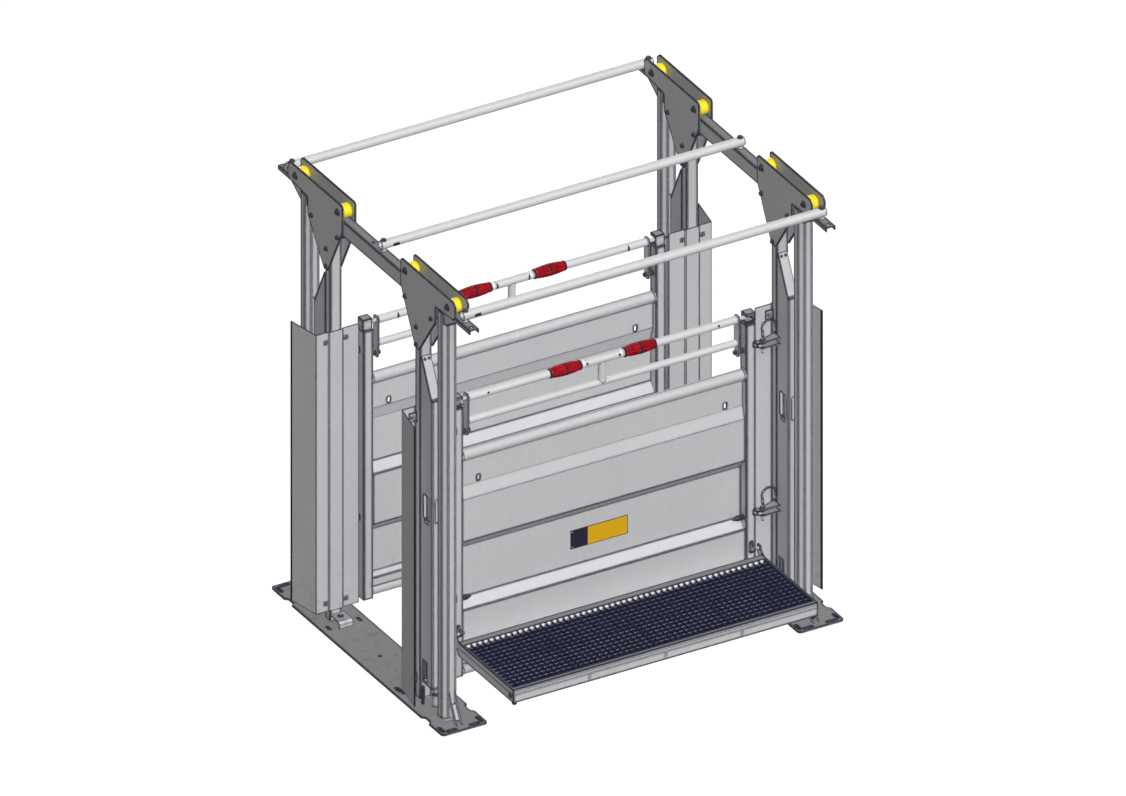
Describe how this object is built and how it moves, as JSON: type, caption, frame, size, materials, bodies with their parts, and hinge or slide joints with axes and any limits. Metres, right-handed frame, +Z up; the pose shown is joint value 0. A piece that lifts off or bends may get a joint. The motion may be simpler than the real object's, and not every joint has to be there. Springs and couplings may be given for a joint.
{
  "type": "livestock handling race",
  "caption": "Galvanised cattle handling race with folded side panels, fold-down upper flaps with sliding latches, roof rails, roller heads and a fold-up side walkway.",
  "frame": {"origin": "the middle of the whole model's footprint, at ground level", "axes": "+X along the race, +Y across it away from the walkway, +Z up"},
  "size_m": [2.3564, 2.05, 2.474],
  "materials": {
    "galvanised_tube": "dull galvanised sheet and tube",
    "galvanised_plate": "dull grey galvanised plate",
    "dark_fasteners": "dark zinc",
    "yellow_roller": "turned nylon, satin",
    "red_grip": "moulded, semi-gloss",
    "dark_grating": "dark serrated grating"
  },
  "bodies": {
    "frame": {"base_plate_left": "galvanised_plate", "base_plate_right": "galvanised_plate", "inner_columns": "galvanised_tube", "outer_columns": "galvanised_tube", "column_struts": "galvanised_tube", "foot_brackets": "galvanised_tube", "stanchion_channel_front_left": "galvanised_tube", "stanchion_channel_front_right": "galvanised_tube", "stanchion_channel_rear_left": "galvanised_tube", "stanchion_channel_rear_right": "galvanised_tube", "channel_ramps": "galvanised_tube", "channel_drop_pins": "dark_fasteners", "head_plates_left": "galvanised_plate", "head_plates_right": "galvanised_plate", "head_bolts": "dark_fasteners", "roller_axles": "dark_fasteners", "cross_beam_left": "galvanised_plate", "cross_beam_right": "galvanised_plate", "roof_rail_front": "galvanised_tube", "roof_rail_middle": "galvanised_tube", "roof_rail_rear": "galvanised_tube", "guard_front_left": "galvanised_tube", "guard_front_right": "galvanised_tube", "guard_rear_left": "galvanised_tube", "guard_rear_right": "galvanised_tube", "guard_bolts": "galvanised_tube", "panel_frame_front": "galvanised_tube", "panel_frame_rear": "galvanised_tube", "panel_sheet_front": "galvanised_tube", "panel_sheet_rear": "galvanised_tube", "panel_bolts": "dark_fasteners", "walkway_hinge_pins": "galvanised_tube"},
    "roller_front_left_inner": {"roller_front_left_inner": "yellow_roller"},
    "roller_front_left_outer": {"roller_front_left_outer": "yellow_roller"},
    "roller_front_right_inner": {"roller_front_right_inner": "yellow_roller"},
    "roller_front_right_outer": {"roller_front_right_outer": "yellow_roller"},
    "roller_rear_left_inner": {"roller_rear_left_inner": "yellow_roller"},
    "roller_rear_left_outer": {"roller_rear_left_outer": "yellow_roller"},
    "roller_rear_right_inner": {"roller_rear_right_inner": "yellow_roller"},
    "roller_rear_right_outer": {"roller_rear_right_outer": "yellow_roller"},
    "flap_front": {"flap_front": "galvanised_tube"},
    "latch_front_left": {"latch_rod_front_left": "galvanised_tube", "grip_front_left": "red_grip"},
    "lock_pin_front_left_upper": {"lock_pin_front_left_upper": "galvanised_tube"},
    "lock_pin_front_left_lower": {"lock_pin_front_left_lower": "galvanised_tube"},
    "latch_front_right": {"latch_rod_front_right": "galvanised_tube", "grip_front_right": "red_grip"},
    "lock_pin_front_right_upper": {"lock_pin_front_right_upper": "galvanised_tube"},
    "lock_pin_front_right_lower": {"lock_pin_front_right_lower": "galvanised_tube"},
    "flap_rear": {"flap_rear": "galvanised_tube"},
    "latch_rear_left": {"latch_rod_rear_left": "galvanised_tube", "grip_rear_left": "red_grip"},
    "lock_pin_rear_left_upper": {"lock_pin_rear_left_upper": "galvanised_tube"},
    "lock_pin_rear_left_lower": {"lock_pin_rear_left_lower": "galvanised_tube"},
    "latch_rear_right": {"latch_rod_rear_right": "galvanised_tube", "grip_rear_right": "red_grip"},
    "lock_pin_rear_right_upper": {"lock_pin_rear_right_upper": "galvanised_tube"},
    "lock_pin_rear_right_lower": {"lock_pin_rear_right_lower": "galvanised_tube"},
    "walkway": {"walkway_frame": "galvanised_tube", "walkway_grating": "dark_grating"}
  },
  "joints": [
    {"name": "roller_front_left_inner_spin", "type": "hinge", "parent": "frame", "child": "roller_front_left_inner", "pos_m": [-1.029, -0.273, 2.417], "axis": [1, 0, 0], "continuous": true},
    {"name": "roller_front_left_outer_spin", "type": "hinge", "parent": "frame", "child": "roller_front_left_outer", "pos_m": [-1.029, -0.695, 2.417], "axis": [1, 0, 0], "continuous": true},
    {"name": "roller_front_right_inner_spin", "type": "hinge", "parent": "frame", "child": "roller_front_right_inner", "pos_m": [1.029, -0.273, 2.417], "axis": [1, 0, 0], "continuous": true},
    {"name": "roller_front_right_outer_spin", "type": "hinge", "parent": "frame", "child": "roller_front_right_outer", "pos_m": [1.029, -0.695, 2.417], "axis": [1, 0, 0], "continuous": true},
    {"name": "roller_rear_left_inner_spin", "type": "hinge", "parent": "frame", "child": "roller_rear_left_inner", "pos_m": [-1.029, 0.403, 2.417], "axis": [1, 0, 0], "continuous": true},
    {"name": "roller_rear_left_outer_spin", "type": "hinge", "parent": "frame", "child": "roller_rear_left_outer", "pos_m": [-1.029, 0.825, 2.417], "axis": [1, 0, 0], "continuous": true},
    {"name": "roller_rear_right_inner_spin", "type": "hinge", "parent": "frame", "child": "roller_rear_right_inner", "pos_m": [1.029, 0.403, 2.417], "axis": [1, 0, 0], "continuous": true},
    {"name": "roller_rear_right_outer_spin", "type": "hinge", "parent": "frame", "child": "roller_rear_right_outer", "pos_m": [1.029, 0.825, 2.417], "axis": [1, 0, 0], "continuous": true},
    {"name": "flap_front_fold", "type": "hinge", "parent": "frame", "child": "flap_front", "pos_m": [0, -0.385, 1.47], "axis": [1, 0, 0], "range_deg": [0, 155]},
    {"name": "latch_front_left_pull", "type": "slide", "parent": "flap_front", "child": "latch_front_left", "axis": [1, 0, 0], "range_m": [0, 0.04]},
    {"name": "lock_pin_front_left_upper_lift", "type": "slide", "parent": "frame", "child": "lock_pin_front_left_upper", "axis": [0, 0, 1], "range_m": [0, 0.08]},
    {"name": "lock_pin_front_left_lower_lift", "type": "slide", "parent": "frame", "child": "lock_pin_front_left_lower", "axis": [0, 0, 1], "range_m": [0, 0.08]},
    {"name": "latch_front_right_pull", "type": "slide", "parent": "flap_front", "child": "latch_front_right", "axis": [-1, 0, 0], "range_m": [0, 0.04]},
    {"name": "lock_pin_front_right_upper_lift", "type": "slide", "parent": "frame", "child": "lock_pin_front_right_upper", "axis": [0, 0, 1], "range_m": [0, 0.08]},
    {"name": "lock_pin_front_right_lower_lift", "type": "slide", "parent": "frame", "child": "lock_pin_front_right_lower", "axis": [0, 0, 1], "range_m": [0, 0.08]},
    {"name": "flap_rear_fold", "type": "hinge", "parent": "frame", "child": "flap_rear", "pos_m": [0, 0.515, 1.47], "axis": [-1, 0, 0], "range_deg": [0, 155]},
    {"name": "latch_rear_left_pull", "type": "slide", "parent": "flap_rear", "child": "latch_rear_left", "axis": [1, 0, 0], "range_m": [0, 0.04]},
    {"name": "lock_pin_rear_left_upper_lift", "type": "slide", "parent": "frame", "child": "lock_pin_rear_left_upper", "axis": [0, 0, 1], "range_m": [0, 0.08]},
    {"name": "lock_pin_rear_left_lower_lift", "type": "slide", "parent": "frame", "child": "lock_pin_rear_left_lower", "axis": [0, 0, 1], "range_m": [0, 0.08]},
    {"name": "latch_rear_right_pull", "type": "slide", "parent": "flap_rear", "child": "latch_rear_right", "axis": [-1, 0, 0], "range_m": [0, 0.04]},
    {"name": "lock_pin_rear_right_upper_lift", "type": "slide", "parent": "frame", "child": "lock_pin_rear_right_upper", "axis": [0, 0, 1], "range_m": [0, 0.08]},
    {"name": "lock_pin_rear_right_lower_lift", "type": "slide", "parent": "frame", "child": "lock_pin_rear_right_lower", "axis": [0, 0, 1], "range_m": [0, 0.08]},
    {"name": "walkway_fold", "type": "hinge", "parent": "frame", "child": "walkway", "pos_m": [0, -0.439, 0.341], "axis": [-1, 0, 0], "range_deg": [0, 90]}
  ]
}
